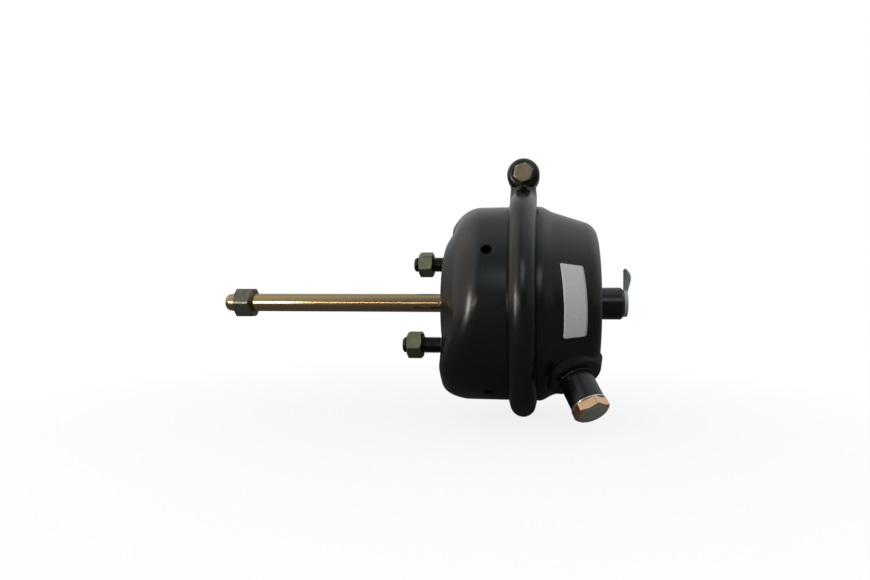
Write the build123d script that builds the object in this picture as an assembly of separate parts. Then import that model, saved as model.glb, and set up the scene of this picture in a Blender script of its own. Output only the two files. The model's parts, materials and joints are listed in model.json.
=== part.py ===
from build123d import *
import math
import os

# Air brake chamber with one diaphragm and 16 square inches of area, in millimetres.
# The chamber's axis is X and the push rod points to -X. Z is up, and the clamp ears are on top.
# The origin is the centre of the flat mounting band at the front.
# Near means the side at -Y, and far means the side at +Y.

# Pressed steel shells
sheet = 2.5
barrel_radius = 72.0
flange_height = 5.0
flange_bend = 1.2
front_depth = 57.5
rear_depth = 53.0

# Front shell: a round flat face with a cone about it, and a flat band across both for the studs
front_face_radius = 44.0
front_cone_depth = 18.0
front_face_round = 14.0
front_barrel_round = 22.0
band_half_width = 13.5
band_flank_angle = 30.0
band_corner = 9.0
plain_barrel = 6.0
rod_hole_radius = 10.5
vent_radius = 3.7
vent_x = 34.0
vent_count = 4
vent_start_angle = 149.0

# Rear shell: a short barrel, a shoulder and a cone down to a flat end
rear_barrel_length = 13.5
shoulder_length = 7.0
shoulder_drop = 4.1
shoulder_bend = 8.0
cone_angle = 18.2
cone_bend = 12.0
rear_corner = 12.5

# Clamp ring of U section, split on top between two ears
ring_width = 19.8
ring_leg_height = 1.2
ring_leg_angle = 14.0
ring_crest_height = 12.0
ring_sheet = 2.5
ear_gap = 6.0
ear_depth = 9.0
ear_radius = 12.0
ear_height = 23.6
ear_rim_round = 4.5
ear_foot_bend = 5.0

# Clamp bolt, M8
clamp_bolt_radius = 4.0
clamp_bolt_hole_radius = 4.5
clamp_bolt_overhang = 3.0
clamp_bolt_flats = 13.0
clamp_head_height = 5.3
clamp_head_turn = 18.3
clamp_nut_height = 6.8
clamp_washer_radius = 8.0
clamp_washer_thickness = 1.6

# Mounting studs, M12, on a line through the axis
stud_spacing = 76.2
stud_line_angle = 52.7
stud_radius = 6.0
stud_reach = 29.8
stud_neck_radius = 6.5
stud_shank_length = 12.0
stud_thread_radius = 5.8
stud_tip_chamfer = 1.3
stud_head_radius = 9.5
stud_head_height = 3.5
stud_nut_flats = 18.0
stud_nut_height = 10.0
stud_nut_inset = 3.0
stud_nut_turn_near = -2.7
stud_nut_turn_far = -23.0
stud_plate_thickness = 4.0
stud_plate_half_width = 12.0
stud_plate_margin = 11.0

# Push rod, M14, and what is fixed to it
rod_radius = 7.0
rod_reach = 180.0
rod_tip_radius = 6.6
rod_tip_round = 3.7
rod_nut_flats = 22.0
rod_nut_height = 11.0
rod_nut_inset = 5.2
plate_sheet = 3.0
plate_side_gap = 21.0
plate_rim_depth = 9.0
plate_rim_lean = 2.5
plate_bend = 6.5
plate_gap = 0.1
collar_radius = 11.0
collar_lean = 2.0
collar_length = 7.0

# Rubber parts
diaphragm_thickness = 3.2
diaphragm_gap = 0.8
bead_height = 4.4
seal_thickness = 3.5
seal_radius = 18.3
seal_chamfer = 0.6

# Return spring and its seat
wire_radius = 2.1
spring_turns = 5.5
spring_gap = 0.3
seat_sheet = 1.5
seat_rim_radius = 26.0
seat_hole_radius = 10.5
seat_bend = 2.0

# Air ports, M16, with a welded boss each
port_bore_radius = 8.0
port_mouth_chamfer = 1.0
boss_radius = 11.8
rear_boss_chamfer = 2.0
side_boss_chamfer = 0.6
boss_spigot_radius = 9.6
rear_boss_length = 19.6
side_boss_length = 17.0
side_port_setback = 35.6
side_port_tilt = 22.0
pad_height = 1.5
pad_radius = 18.5
pad_round = 3.0
pad_foot_radius = 23.5
pad_foot_depth = 8.0

# Port plug and its washer
plug_flats = 22.0
plug_head_height = 8.0
plug_shank_length = 12.0
plug_turn = 12.0
plug_washer_radius = 11.5
plug_washer_thickness = 1.5

# Dust cap of the rear port
cap_flange_radius = 9.8
cap_flange_thickness = 2.7
cap_flange_round = 0.8
cap_stem_length = 9.0
cap_wall = 1.4
tab_tip_z = 26.3
tab_root_z = 6.0
tab_neck_z = 11.0
tab_bulge_z = 18.0
tab_neck_width = 3.0
tab_width = 7.0
tab_thickness = 1.8
tab_twist = 32.0

# Clearances
fit_gap = 0.05
rod_gap = 0.35
nut_face_share = 0.95
nut_chamfer_angle = 30.0

# Places worked out from the sizes above
ring_x = front_depth
rear_x = front_depth + rear_depth
side_port_x = ring_x + side_port_setback
flange_radius = barrel_radius + flange_height
ring_leg_radius = barrel_radius + ring_leg_height
ring_crest_radius = barrel_radius + ring_crest_height
ear_z = barrel_radius + ear_height
ear_face_y = ear_gap / 2 + ear_depth
stud_plate_x = sheet + stud_plate_thickness
seat_hub_radius = seal_radius + fit_gap + seat_sheet
plate_radius = barrel_radius - plate_side_gap
spring_large_radius = plate_radius - plate_sheet - plate_rim_lean - plate_bend - spring_gap
plate_back_x = rear_x - sheet - diaphragm_gap - diaphragm_thickness - plate_gap
plate_front_x = plate_back_x - plate_sheet
cap_x = rear_x + rear_boss_length


def slope(angle):
    return math.tan(math.radians(angle))


def turned(face):
    """Solid of revolution of a face about the chamber's axis."""
    return revolve(face, Axis.X)


def rod(plane, radius, length):
    """Cylinder on a plane, along its normal."""
    return extrude(plane * Circle(radius), length)


def tube(plane, outer, inner, length):
    return extrude(plane * (Circle(outer) - Circle(inner)), length)


def inset(points, distance):
    """The polyline moved sideways by a distance, to the right of its direction."""
    points = [Vector(*point) for point in points]
    runs = [(end - start).normalized() for start, end in zip(points, points[1:])]
    sides = [Vector(run.Y, -run.X) for run in runs]
    before = [sides[0]] + sides
    after = sides + [sides[-1]]
    return [p + (a + b) * (distance / (1 + a.dot(b))) for p, a, b in zip(points, before, after)]


def pressed(points, radii, thickness):
    """Sheet turned about the axis: a bent path, with its thickness to the right of the path."""
    path = Wire(FilletPolyline(*points, radius=radii).edges())
    outline = offset(path, amount=thickness, side=Side.RIGHT, kind=Kind.INTERSECTION)
    return turned(make_face(outline))


def hexagon(plane, flats, height, turn=0.0):
    """Hexagon block on a plane, along its normal, chamfered at the corners of both ends."""
    block = extrude(RegularPolygon(flats / 2, 6, major_radius=False, rotation=turn), height)
    corner = flats / math.sqrt(3)
    face_radius = nut_face_share * flats / 2
    drop = (corner - face_radius) * slope(nut_chamfer_angle)
    outline = Polyline(
        (0, 0),
        (face_radius, 0),
        (corner, drop),
        (corner, height - drop),
        (face_radius, height),
        (0, height),
        close=True,
    )
    blank = revolve(make_face(Plane.XZ * outline), Axis.Z)
    return plane.location * (block & blank)


def stud_plane(side, x, facing=-1):
    """Plane across a stud's axis: side -1 is the near stud and side 1 the far one."""
    reach = side * stud_spacing / 2
    turn = math.radians(stud_line_angle)
    return Plane((x, reach * math.cos(turn), reach * math.sin(turn)), x_dir=(0, 1, 0), z_dir=(facing, 0, 0))


def flange_half_width(radius, depth=0.0):
    """Half the width between the flanges' outer faces, or between surfaces at a depth in them."""
    leg_cosine = math.cos(math.radians(ring_leg_angle))
    leg_inside = ring_width / 2 - ring_sheet / leg_cosine
    at_leg = leg_inside - (radius - ring_leg_radius) * slope(ring_leg_angle)
    return at_leg - (fit_gap + depth) / leg_cosine


# Front shell

dish_end = ring_x - flange_half_width(barrel_radius) - flange_bend - plain_barrel


def dome(depth):
    """Solid under the front shell's round face and cone, or under a surface at a depth below it."""
    outside = [(0, 0), (0, front_face_radius), (front_cone_depth, barrel_radius), (dish_end, barrel_radius)]
    radii = [front_face_round - depth, front_barrel_round - depth]
    path = FilletPolyline(*inset(outside, depth), radius=radii)
    closing = Polyline((dish_end, barrel_radius - depth), (dish_end, 0), (depth, 0))
    return turned(make_face(Wire(path.edges() + closing.edges())))


def band(depth):
    """Solid under the flat band and its two flanks, or under a surface at a depth below it."""
    size = 2 * barrel_radius
    blank = rod(Plane.YZ.offset(depth), barrel_radius - depth, size)
    half_width = band_half_width - depth * slope(band_flank_angle / 2)
    wedge = Box(size, 2 * size, 2 * size, align=(Align.MAX, Align.MIN, Align.CENTER))
    flank = Pos(depth, half_width, 0) * Rot(0, 0, -band_flank_angle) * wedge
    for turn in (stud_line_angle - 90, stud_line_angle + 90):
        blank -= Rot(turn, 0, 0) * flank
    rim = blank.edges().group_by(Axis.X)[-1]
    seams = blank.edges().filter_by(Axis.X)
    blank = fillet(blank.edges() - rim - seams, band_corner - depth)
    return blank & rod(Plane.YZ.offset(depth), barrel_radius, dish_end - depth)


def make_front_housing():
    barrel_path = [
        (dish_end, barrel_radius),
        (ring_x - flange_half_width(barrel_radius), barrel_radius),
        (ring_x - flange_half_width(flange_radius), flange_radius),
    ]
    shell = dome(0) + band(0) - (dome(sheet) + band(sheet))
    shell += pressed(barrel_path, flange_bend, sheet)
    shell -= rod(Plane.YZ, rod_hole_radius, sheet)
    for side in (-1, 1):
        shell -= rod(stud_plane(side, 0, 1), stud_neck_radius + fit_gap, sheet)
    for place in range(vent_count):
        turn = vent_start_angle + place * 360 / vent_count
        drill = rod(Plane((vent_x, 0, 0), z_dir=(0, 1, 0)), vent_radius, barrel_radius + sheet)
        shell -= Rot(turn, 0, 0) * drill
    return shell


def make_stud_plate():
    length = stud_spacing + 2 * stud_plate_margin
    outline = SlotOverall(length, 2 * stud_plate_half_width) - Circle(rod_hole_radius)
    for side in (-1, 1):
        outline -= Pos(side * stud_spacing / 2, 0) * Circle(stud_neck_radius + fit_gap)
    turn = math.radians(stud_line_angle)
    plane = Plane((sheet, 0, 0), x_dir=(0, math.cos(turn), math.sin(turn)), z_dir=(1, 0, 0))
    return extrude(plane * outline, stud_plate_thickness)


def make_stud(side):
    """Stud with its head inside, a pressed neck in the shell, a plain shank and a threaded end."""
    end = rod(stud_plane(side, -stud_shank_length), stud_thread_radius, stud_reach - stud_shank_length)
    end = chamfer(end.edges().group_by(Axis.X)[0], stud_tip_chamfer)
    shank = rod(stud_plane(side, 0), stud_radius, stud_shank_length)
    neck = rod(stud_plane(side, stud_plate_x), stud_neck_radius, stud_plate_x)
    head = rod(stud_plane(side, stud_plate_x, 1), stud_head_radius, stud_head_height)
    return end + shank + neck + head


def make_stud_nut(side, turn):
    seat_x = stud_nut_inset + stud_nut_height - stud_reach
    nut = hexagon(stud_plane(side, seat_x), stud_nut_flats, stud_nut_height, turn)
    return nut - rod(stud_plane(side, seat_x), stud_thread_radius + fit_gap, stud_nut_height)


def make_dust_seal():
    seal = tube(Plane.YZ.offset(stud_plate_x), seal_radius, rod_radius + rod_gap, seal_thickness)
    return chamfer(seal.edges().filter_by(GeomType.CIRCLE).sort_by(SortBy.RADIUS)[-2:], seal_chamfer)


def make_spring_seat():
    rim_x = stud_plate_x + seat_sheet
    top_x = rim_x + seal_thickness
    path = [
        (rim_x, seat_rim_radius),
        (rim_x, seat_hub_radius),
        (top_x, seat_hub_radius),
        (top_x, seat_hole_radius),
    ]
    return pressed(path, [seat_bend - seat_sheet / 2, seat_bend], seat_sheet)


def make_return_spring():
    start_x = stud_plate_x + seat_sheet + wire_radius + fit_gap
    end_x = plate_front_x - wire_radius - spring_gap
    small_radius = seat_hub_radius + spring_gap + wire_radius
    height = end_x - start_x
    lean = math.degrees(math.atan2(spring_large_radius - small_radius, height))
    coil = Edge.make_helix(height / spring_turns, height, small_radius, (start_x, 0, 0), (1, 0, 0), lean)
    section = Plane(coil @ 0, z_dir=coil % 0) * Circle(wire_radius)
    return sweep(section, path=coil, is_frenet=True)


# Rear shell

def rear_points():
    """Outside of the rear shell from its flange to the centre of its end."""
    shoulder_x = ring_x + rear_barrel_length
    cone_x = shoulder_x + shoulder_length
    cone_radius = barrel_radius - shoulder_drop
    return [
        (ring_x + flange_half_width(flange_radius), flange_radius),
        (ring_x + flange_half_width(barrel_radius), barrel_radius),
        (shoulder_x, barrel_radius),
        (cone_x, cone_radius),
        (rear_x, cone_radius - (rear_x - cone_x) * slope(cone_angle)),
        (rear_x, 0),
    ]


def rear_radii(depth):
    """Bend radii of the rear shell's path, at a depth under its outside."""
    return [flange_bend + depth, shoulder_bend - depth, cone_bend + depth, rear_corner - depth]


def cone_radius_at(x):
    start, end = rear_points()[3:5]
    return start[1] - (x - start[0]) * slope(cone_angle)


def side_port_plane(height=0.0):
    """Plane of the side port's pad, with its normal along the port."""
    turn = math.radians(stud_line_angle + 180)
    tilt = math.radians(side_port_tilt)
    out = Vector(math.sin(tilt), math.cos(tilt) * math.cos(turn), math.cos(tilt) * math.sin(turn))
    radius = cone_radius_at(side_port_x)
    foot = Vector(side_port_x, radius * math.cos(turn), radius * math.sin(turn))
    return Plane(foot + out * (pad_height + height), x_dir=Vector(1, 0, 0).cross(out), z_dir=out)


def pad(depth):
    """Raised pad that the side port's boss stands on, as a solid."""
    blank = Cone(pad_foot_radius, pad_radius, pad_foot_depth, align=(Align.CENTER, Align.CENTER, Align.MAX))
    blank = fillet(blank.edges().group_by(Axis.Z)[-1], pad_round)
    return side_port_plane(-depth).location * blank


def make_rear_housing():
    inside = FilletPolyline(*inset(rear_points(), sheet), radius=rear_radii(sheet))
    mouth = inset(rear_points(), sheet)[0]
    closing = Polyline((rear_x - sheet, 0), (mouth.X, 0), (mouth.X, mouth.Y))
    hollow = turned(make_face(Wire(inside.edges() + closing.edges())))
    shell = pressed(rear_points(), rear_radii(0), sheet)
    shell = shell + (pad(0) - hollow) - pad(sheet)
    shell -= rod(Plane.YZ.offset(rear_x), boss_spigot_radius + fit_gap, -sheet)
    return shell - rod(side_port_plane(), boss_spigot_radius + fit_gap, -2 * sheet)


def make_boss(plane, length, end_chamfer):
    """Threaded boss that stands on a plane, with a spigot through the shell's wall."""
    outline = Polyline(
        (port_bore_radius, -sheet),
        (boss_spigot_radius, -sheet),
        (boss_spigot_radius, 0),
        (boss_radius, 0),
        (boss_radius, length - end_chamfer),
        (boss_radius - end_chamfer, length),
        (port_bore_radius + port_mouth_chamfer, length),
        (port_bore_radius, length - port_mouth_chamfer),
        close=True,
    )
    return plane.location * revolve(make_face(Plane.XZ * outline), Axis.Z)


def make_plug_washer():
    return tube(side_port_plane(side_boss_length), plug_washer_radius, port_bore_radius, plug_washer_thickness)


def make_port_plug():
    seat = side_port_plane(side_boss_length + plug_washer_thickness)
    head = hexagon(seat, plug_flats, plug_head_height, plug_turn)
    return head + rod(seat, port_bore_radius - fit_gap, -plug_shank_length)


def make_dust_cap():
    flange = rod(Plane.YZ.offset(cap_x), cap_flange_radius, cap_flange_thickness)
    flange = fillet(flange.edges().group_by(Axis.X)[-1], cap_flange_round)
    stem_radius = port_bore_radius - fit_gap
    stem = tube(Plane.YZ.offset(cap_x), stem_radius, stem_radius - cap_wall, -cap_stem_length)
    half_neck = tab_neck_width / 2
    edge = Polyline((half_neck, tab_root_z), (-half_neck, tab_root_z), (-half_neck, tab_tip_z - half_neck))
    tip = Spline(
        (-half_neck, tab_tip_z - half_neck),
        (0, tab_tip_z),
        (tab_width - half_neck, tab_bulge_z),
        (half_neck, tab_neck_z),
        tangents=((0, 1), (0, -1)),
    )
    side = Line((half_neck, tab_neck_z), (half_neck, tab_root_z))
    leaf = extrude(Plane.XZ * make_face(edge + tip + side), tab_thickness / 2, both=True)
    twist = math.radians(tab_twist)
    tab_reach = half_neck * math.sin(twist) + tab_thickness / 2 * math.cos(twist)
    tab = Pos(cap_x + tab_reach + fit_gap, 0, 0) * Rot(0, 0, tab_twist - 90) * leaf
    return flange + stem + tab


def make_diaphragm():
    low, high = flange_radius - bead_height, flange_radius
    narrow, wide = flange_half_width(high, sheet), flange_half_width(low, sheet)
    bead = Polyline(
        (ring_x - wide, low),
        (ring_x - narrow, high),
        (ring_x + narrow, high),
        (ring_x + wide, low),
        close=True,
    )
    web_depth = sheet + diaphragm_gap
    web = pressed(inset(rear_points(), web_depth), rear_radii(web_depth), diaphragm_thickness)
    return web + turned(make_face(bead))


# Clamp ring

def ring_section(depth, foot):
    """Region under the ring's crest, drawn as length and radius about the ring's middle."""
    lean = math.radians(ring_leg_angle)
    half = ring_width / 2
    rise = ring_crest_radius - ring_leg_radius
    crest = (half * math.cos(lean) - rise * math.sin(lean)) / (1 - math.sin(lean))
    centre = ring_crest_radius - crest
    round_radius = crest - depth
    tangent = (round_radius * math.cos(lean), centre + round_radius * math.sin(lean))
    foot_x = half - depth / math.cos(lean) + foot * slope(ring_leg_angle)
    foot_radius = ring_leg_radius - foot
    arc = ThreePointArc((-tangent[0], tangent[1]), (0, centre + round_radius), tangent)
    legs = Polyline(tangent, (foot_x, foot_radius), (-foot_x, foot_radius), (-tangent[0], tangent[1]))
    return Pos(ring_x, 0) * make_face(arc + legs)


def ring_solid(depth, foot=0.0):
    """The ring with both ears, as a solid under the surface at a depth in its sheet."""
    section = ring_section(depth, foot)
    bend_y = ear_face_y + ear_foot_bend
    bend_z = math.sqrt((ring_crest_radius + ear_foot_bend) ** 2 - bend_y**2)
    opening = math.degrees(math.atan2(bend_y, bend_z))
    start = Rot(90 + opening, 0, 0) * section
    ring = revolve(start, Axis.X, revolution_arc=360 - 2 * opening)
    bend = revolve(start, Axis((ring_x, -bend_y, bend_z), (1, 0, 0)), revolution_arc=90 - opening)
    upright = Pos(0, ring_crest_radius - ear_face_y, bend_z) * Rot(180, 0, 0) * section
    neck = extrude(upright, ear_z - bend_z, dir=(0, 0, 1))
    eye = rod(Plane((ring_x, 0, ear_z), z_dir=(0, -1, 0)), ear_radius - depth, ear_face_y - depth)
    eye = fillet(eye.edges().group_by(Axis.Y)[0], ear_rim_round - depth)
    ear = bend + neck + eye
    return ring + ear + mirror(ear, Plane.XZ)


def make_clamp_ring():
    ring = ring_solid(0) - ring_solid(ring_sheet, ring_sheet)
    slit = Box(2 * ring_width, ear_gap, 2 * ear_z, align=(Align.CENTER, Align.CENTER, Align.MIN))
    ring -= Pos(ring_x, 0, 0) * slit
    hole = rod(Plane((ring_x, 0, ear_z), z_dir=(0, 1, 0)), clamp_bolt_hole_radius, 2 * ear_face_y)
    return ring - Pos(0, -ear_face_y, 0) * hole


def make_clamp_bolt():
    head_plane = Plane((ring_x, -ear_face_y, ear_z), x_dir=(1, 0, 0), z_dir=(0, -1, 0))
    head = hexagon(head_plane, clamp_bolt_flats, clamp_head_height, clamp_head_turn)
    stack = 2 * ear_face_y + clamp_washer_thickness + clamp_nut_height
    shank = rod(head_plane, clamp_bolt_radius, -(stack + clamp_bolt_overhang))
    return head + shank


def make_clamp_washer():
    seat = Plane((ring_x, ear_face_y, ear_z), x_dir=(1, 0, 0), z_dir=(0, 1, 0))
    return tube(seat, clamp_washer_radius, clamp_bolt_radius + fit_gap, clamp_washer_thickness)


def make_clamp_nut():
    seat = Plane((ring_x, ear_face_y + clamp_washer_thickness, ear_z), x_dir=(1, 0, 0), z_dir=(0, 1, 0))
    nut = hexagon(seat, clamp_bolt_flats, clamp_nut_height, clamp_head_turn)
    return nut - rod(seat, clamp_bolt_radius + fit_gap, clamp_nut_height)


# Push rod

def make_push_rod():
    """The rod, with a slimmer rounded point in front of its nut."""
    point = rod(Plane.YZ.offset(-rod_reach), rod_tip_radius, rod_nut_inset)
    point = fillet(point.edges().group_by(Axis.X)[0], rod_tip_round)
    return point + rod(Plane.YZ.offset(rod_nut_inset - rod_reach), rod_radius, plate_back_x + rod_reach - rod_nut_inset)


def make_rod_nut():
    seat = Plane((rod_nut_inset - rod_reach, 0, 0), x_dir=(0, -1, 0), z_dir=(1, 0, 0))
    nut = hexagon(seat, rod_nut_flats, rod_nut_height)
    return nut - rod(seat, rod_radius + fit_gap, rod_nut_height)


def make_push_plate():
    rim_radius = plate_radius - plate_sheet
    path = [
        (plate_front_x, rod_radius + fit_gap),
        (plate_front_x, rim_radius - plate_rim_lean),
        (plate_front_x - plate_rim_depth, rim_radius),
    ]
    return pressed(path, plate_bend, plate_sheet)


def make_rod_collar():
    bore = rod_radius + fit_gap
    outline = Polyline(
        (plate_front_x, bore),
        (plate_front_x, collar_radius),
        (plate_front_x - collar_length, collar_radius - collar_lean),
        (plate_front_x - collar_length, bore),
        close=True,
    )
    return turned(make_face(outline))


rear_port_plane = Plane((rear_x, 0, 0), x_dir=(0, 1, 0), z_dir=(1, 0, 0))

parts = {
    "front_housing": make_front_housing(),
    "rear_housing": make_rear_housing(),
    "clamp_ring": make_clamp_ring(),
    "clamp_bolt": make_clamp_bolt(),
    "clamp_washer": make_clamp_washer(),
    "clamp_nut": make_clamp_nut(),
    "diaphragm": make_diaphragm(),
    "stud_plate": make_stud_plate(),
    "mounting_stud_near": make_stud(-1),
    "mounting_stud_far": make_stud(1),
    "stud_nut_near": make_stud_nut(-1, stud_nut_turn_near),
    "stud_nut_far": make_stud_nut(1, stud_nut_turn_far),
    "dust_seal": make_dust_seal(),
    "spring_seat": make_spring_seat(),
    "return_spring": make_return_spring(),
    "rear_port_boss": make_boss(rear_port_plane, rear_boss_length, rear_boss_chamfer),
    "side_port_boss": make_boss(side_port_plane(), side_boss_length, side_boss_chamfer),
    "plug_washer": make_plug_washer(),
    "port_plug": make_port_plug(),
    "rear_dust_cap": make_dust_cap(),
    "push_rod": make_push_rod(),
    "rod_nut": make_rod_nut(),
    "push_plate": make_push_plate(),
    "rod_collar": make_rod_collar(),
}

os.makedirs("parts", exist_ok=True)
for node, shape in parts.items():
    export_step(shape, f"parts/{node}.step")
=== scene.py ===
import bmesh
import bpy
import json
import math
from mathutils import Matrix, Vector

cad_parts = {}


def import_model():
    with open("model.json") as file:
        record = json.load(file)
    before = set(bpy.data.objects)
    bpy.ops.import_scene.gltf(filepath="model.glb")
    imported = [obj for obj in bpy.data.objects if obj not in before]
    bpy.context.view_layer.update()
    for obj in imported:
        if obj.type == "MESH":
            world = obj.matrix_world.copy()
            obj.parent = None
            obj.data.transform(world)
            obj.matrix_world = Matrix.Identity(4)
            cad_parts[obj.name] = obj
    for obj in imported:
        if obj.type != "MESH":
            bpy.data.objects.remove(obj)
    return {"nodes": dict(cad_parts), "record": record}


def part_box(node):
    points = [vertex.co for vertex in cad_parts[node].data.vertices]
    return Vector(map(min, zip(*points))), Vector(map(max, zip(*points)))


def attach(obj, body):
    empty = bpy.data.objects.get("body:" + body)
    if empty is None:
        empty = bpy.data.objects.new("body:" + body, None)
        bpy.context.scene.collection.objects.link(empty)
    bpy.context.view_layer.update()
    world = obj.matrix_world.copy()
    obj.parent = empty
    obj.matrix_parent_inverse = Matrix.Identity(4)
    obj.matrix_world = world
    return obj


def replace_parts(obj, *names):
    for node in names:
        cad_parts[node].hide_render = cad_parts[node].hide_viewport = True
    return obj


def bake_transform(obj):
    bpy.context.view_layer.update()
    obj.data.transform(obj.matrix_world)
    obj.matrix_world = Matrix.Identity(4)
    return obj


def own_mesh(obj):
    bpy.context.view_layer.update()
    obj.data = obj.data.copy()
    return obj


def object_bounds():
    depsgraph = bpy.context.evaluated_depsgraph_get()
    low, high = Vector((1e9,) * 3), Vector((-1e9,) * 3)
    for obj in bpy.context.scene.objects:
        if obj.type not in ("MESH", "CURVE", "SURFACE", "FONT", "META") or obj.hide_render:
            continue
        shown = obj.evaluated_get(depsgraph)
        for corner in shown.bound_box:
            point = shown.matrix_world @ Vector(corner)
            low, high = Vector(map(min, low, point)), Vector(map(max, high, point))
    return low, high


# The looks of the air brake chamber, in metres, in the frame of the CAD model.
# X is the chamber's axis with the push rod at -X, Z is up, and the near side is -Y.

# Camera, found from the photograph: yaw in degrees, lens and sensor in mm
CAMERA_PLACE = (0.06735, -0.4939, 0.0100)
CAMERA_YAW = 8.9
CAMERA_LENS = 26.9
CAMERA_SENSOR = 36.0
CAMERA_CLIP = 0.01

# Front shell, with its wide pressed blends
BARREL_RADIUS = 0.0720
FACE_RADIUS = 0.0440
FACE_BLEND = 0.0041
CONE_RISE = math.tan(math.radians(32.7))
BAND_HALF_WIDTH = 0.0135
BAND_RISE = math.tan(math.radians(21.0))
BAND_BLEND = 0.0050
VALLEY_BLEND = 0.0060           # where the cone meets the band's flanks
VALLEY_FULL_DEPTH = 0.006       # depth at which that blend has its full width
CORNER_RADIUS = 0.009           # outer corner at the face, and what it gains down to a depth
CORNER_GAIN = 0.003
CORNER_FULL_DEPTH = 0.014
FACE_SLANT = 0.93               # turns a gap along the axis into one square to the face
SHELL_SHEET = 0.0025
SHELL_CENTRE_X = 0.0450         # the shell is sought from here, in all directions
SHELL_REACH = (0.010, 0.140)
SHELL_HALVINGS = 22
SHELL_ROWS = 120
SHELL_COLUMNS = 216
ROD_HOLE_RADIUS = 0.0105
VENT_X = 0.0340
VENT_RADIUS = 0.0037
VENT_TURN = math.radians(149.0)
VENT_COUNT = 4
VENT_DRILL = (0.05, 0.09)       # start and end of the drill, from the axis
VENT_COLUMNS = 40
FLANGE_PATH = (                 # place along the axis and radius
    (0.0475, 0.0720), (0.0487, 0.0720), (0.0494, 0.0723), (0.0499, 0.0729), (0.0502, 0.0738),
    (0.0512, 0.0770),
)

# Turned and hex pieces
HUB = 0.00005                   # radius at which a solid end is closed
FIT = 0.00005                   # gap between a piece and its bore
HEX_COLUMNS = 120
HEX_SHARP_ANGLE = 20            # degrees
CHAMFER_STEPS = 10
ROD_NUT_X = -0.1704
ROD_NUT_HEIGHT = 0.0140
ROD_NUT_FLATS = 0.0220
ROD_NUT_CORNERS = 0.965         # share of the hexagon's corners that is left
ROD_RADIUS = 0.0070
STUD_NUT_FLATS = 0.0180
STUD_NUT_HEIGHT = 0.0114
STUD_NUT_BITE = 0.0002          # how far its bore lies under the stud's crest
STUD_NUTS = (                   # name, CAD node, side, inner end, turn in degrees
    ("near_stud_nut", "stud_nut_near", -1, -0.0149, 8),
    ("far_stud_nut", "stud_nut_far", 1, -0.0144, 21),
)
SIDE_BOSS_LENGTH = 0.0200
SIDE_BOSS_CHAMFER = 0.0006
PORT_BORE_RADIUS = 0.0080
PLUG_WASHER_RADIUS = 0.0122
PLUG_WASHER_THICKNESS = 0.0013
WASHER_STEPS = 8
PLUG_FLATS = 0.0220
PLUG_HEIGHT = 0.0068
PLUG_TOP_SHARE = 0.90           # top face across, as a share of the flats
PLUG_TURN = math.radians(14.0)
PLUG_SHANK_LENGTH = 0.012
PLUG_SHANK_CHAMFER = 0.0008

# Rear cap and its pull tab
CAP_X = 0.1301
CAP_RADIUS = 0.0098
CAP_THICKNESS = 0.0027
CAP_LIP = 0.0002
CAP_EDGE = 0.0009
CAP_EDGE_STEPS = 8
CAP_CROWN = (0.0003, 0.00035)   # rise of the end face halfway in and at the middle
CAP_WEB = 0.0005
CAP_WEB_RADIUS = 0.0066
CAP_MOUTH_RADIUS = 0.0068
CAP_SKIRT_LENGTH = 0.009
CAP_SKIRT_TAPER = 0.0002
TAB_TWIST = math.radians(35.0)
TAB_FOOT_X = 0.0015
TAB_LEAN = 0.68                 # how far the middle moves back for each bit of half width
TAB_ROUND = 0.0022              # half width below which it moves no more, for a round tip
TAB_THICKNESS = 0.0014
TAB_LEAST_HALF = 0.0001
TAB_SQUARENESS = 0.7            # power that makes the leaf's section fuller than an oval
TAB_ROWS = 48
TAB_COLUMNS = 24
TAB_WIDTHS = (                  # height and half width
    (0.0040, 0.0020), (0.0091, 0.0024), (0.0137, 0.0032), (0.0179, 0.0039), (0.0213, 0.0036),
    (0.0236, 0.0027), (0.0251, 0.0016), (0.0258, 0.0003),
)

# Weld beads
BEAD_COLUMNS = 12
BEAD_AROUND = 240
BEAD_RIPPLES = ((26, 0.12, 0.0), (7, 0.06, 1.0))    # count, size and start
BEAD_OFFSET = 0.35
BEAD_WIDTH = 0.9
BEAD_HEIGHT = 0.8
REAR_BEAD = 0.0010
SIDE_BEAD = 0.0012

# Paper label on the cone, bare of words: turns in degrees, from the near side upwards
LABEL_FRONT_X = 0.08485
LABEL_WIDTH = 0.0152
LABEL_TOP = 24.6
LABEL_BOTTOM = -19.4
LABEL_MIDDLE = -6.0
LABEL_BOW = 0.0000028
LABEL_UNDERSIDE = 0.00003
LABEL_THICKNESS = 0.00012
LABEL_CORNER = 0.0011
LABEL_ROWS = 10
LABEL_COLUMNS = 44

# Return spring
SPRING_WIRE = 0.0021
SPRING_SMALL_RADIUS = 0.02225
SPRING_TURNS = 6.2
SPRING_STEPS = 48               # in a turn
SPRING_COLUMNS = 12
SPRING_CLOSED = 0.09            # share of the wire in each closed end turn

# Floor, surroundings and lamps
LAMP_AIM = (0.05, 0, 0)
FLOOR_SIZE = 6.0
FLOOR_GAP = 0.0002
FLOOR_GREY = (0.17, 0.17, 0.17)     # as the other pieces see it
FLOOR_PALE = (0.85, 0.85, 0.85)     # as the camera sees it
FLOOR_GLOW_NEAR = 0.84
FLOOR_FADE = (0.14, 0.40)
WORLD_FLOOR = 0.03
WORLD_LOBES = (                 # direction, start and end of the dot product, strength, colour
    ((-1.0, -0.25, 0.40), 0.44, 1.00, 0.84, (1.0, 0.95, 0.89)),
    ((1.0, -0.10, 0.75), 0.42, 1.00, 0.38, (1.0, 0.98, 0.96)),
    ((-0.1, -0.70, 0.80), 0.50, 1.00, 0.27, (0.60, 0.88, 1.0)),
    ((0.1, 0.60, 0.80), 0.20, 1.00, 0.60, (0.92, 0.97, 1.0)),
)

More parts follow.
